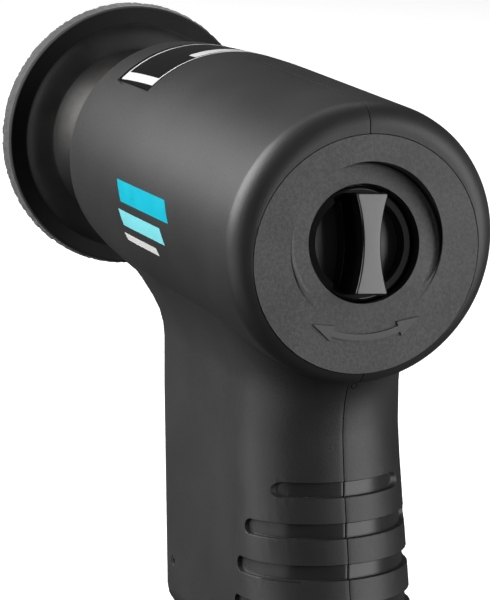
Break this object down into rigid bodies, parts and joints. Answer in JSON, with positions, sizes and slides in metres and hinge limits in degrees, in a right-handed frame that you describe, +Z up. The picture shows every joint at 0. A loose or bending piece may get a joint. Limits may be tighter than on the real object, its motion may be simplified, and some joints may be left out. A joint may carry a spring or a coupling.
{
  "type": "pneumatic mini disc sander",
  "caption": "Pistol-grip air sander: disc backing pad on a motor spindle, press trigger, rear speed knob, finger-grooved grip and threaded air inlet.",
  "frame": {"origin": "centre of the pad's working face", "axes": "+Y the way the pad faces, along the spindle; +Z up; the grip hangs towards -Z; the housing halves part on X = 0"},
  "size_m": [0.0528, 0.1268, 0.1164],
  "materials": {
    "housing_nylon": "fine moulded texture",
    "cover_nylon": "coarse spark texture",
    "grille_plastic": "satin",
    "knob_black": "polished",
    "trigger_plastic": "satin",
    "label": "satin film",
    "machine_steel": "ground",
    "rotor_steel": "ground",
    "bearing_steel": "polished",
    "dark_screw": "black oxide",
    "turned_aluminium": "turned",
    "cast_aluminium": "cast",
    "inlet_nickel": "nickel plate",
    "screen_steel": "bright",
    "turned_brass": "turned",
    "seal_rubber": "matt",
    "vane_resin": "ground",
    "pad_rubber": "matt",
    "hook_fabric": "hooked nap",
    "felt": "felt"
  },
  "bodies": {
    "housing": {"left_housing": "housing_nylon", "right_housing": "housing_nylon", "housing_screws": "dark_screw", "rear_cover": "cover_nylon", "rating_plate": "label", "front_collar": "turned_aluminium", "collar_screws": "dark_screw", "motor_cylinder": "machine_steel", "front_end_plate": "turned_aluminium", "rear_end_plate": "turned_aluminium", "motor_dowel": "machine_steel", "rear_gasket": "seal_rubber", "front_bearing_outer": "bearing_steel", "front_bearing_balls": "bearing_steel", "rear_bearing_outer": "bearing_steel", "rear_bearing_balls": "bearing_steel", "back_head": "turned_aluminium", "regulator_pin": "machine_steel", "valve_body": "cast_aluminium", "valve_plug": "turned_aluminium", "valve_spring": "screen_steel", "valve_seat": "seal_rubber", "stem_bushing": "turned_brass", "stem_seal": "seal_rubber", "inlet_bushing": "inlet_nickel", "inlet_seal": "seal_rubber", "inlet_screen": "screen_steel", "exhaust_grille": "grille_plastic", "exhaust_felt": "felt", "base_pin": "machine_steel"},
    "rotating_group": {"rotor": "rotor_steel", "rotor_vanes": "vane_resin", "spindle": "machine_steel", "front_bearing_inner": "bearing_steel", "rear_bearing_inner": "bearing_steel", "pad_hub": "machine_steel", "backing_pad": "pad_rubber", "hook_facing": "hook_fabric"},
    "trigger_group": {"trigger": "trigger_plastic", "valve_stem": "machine_steel"},
    "regulator_group": {"regulator_drum": "turned_brass", "regulator_knob": "knob_black", "regulator_seal": "seal_rubber"}
  },
  "joints": [
    {"name": "spindle_spin", "type": "hinge", "parent": "housing", "child": "rotating_group", "pos_m": [0, 0, 0], "axis": [0, 1, 0], "continuous": true},
    {"name": "trigger_press", "type": "slide", "parent": "housing", "child": "trigger_group", "axis": [0, -1, 0], "range_m": [0, 0.0035], "stiffness_N_per_m": 1500, "springref_m": -0.004, "deforming": ["valve_spring"]},
    {"name": "regulator_turn", "type": "hinge", "parent": "housing", "child": "regulator_group", "pos_m": [0, -0.1212, -0.0022], "axis": [0, -0.9877, 0.1564], "range_deg": [-45, 45]}
  ]
}
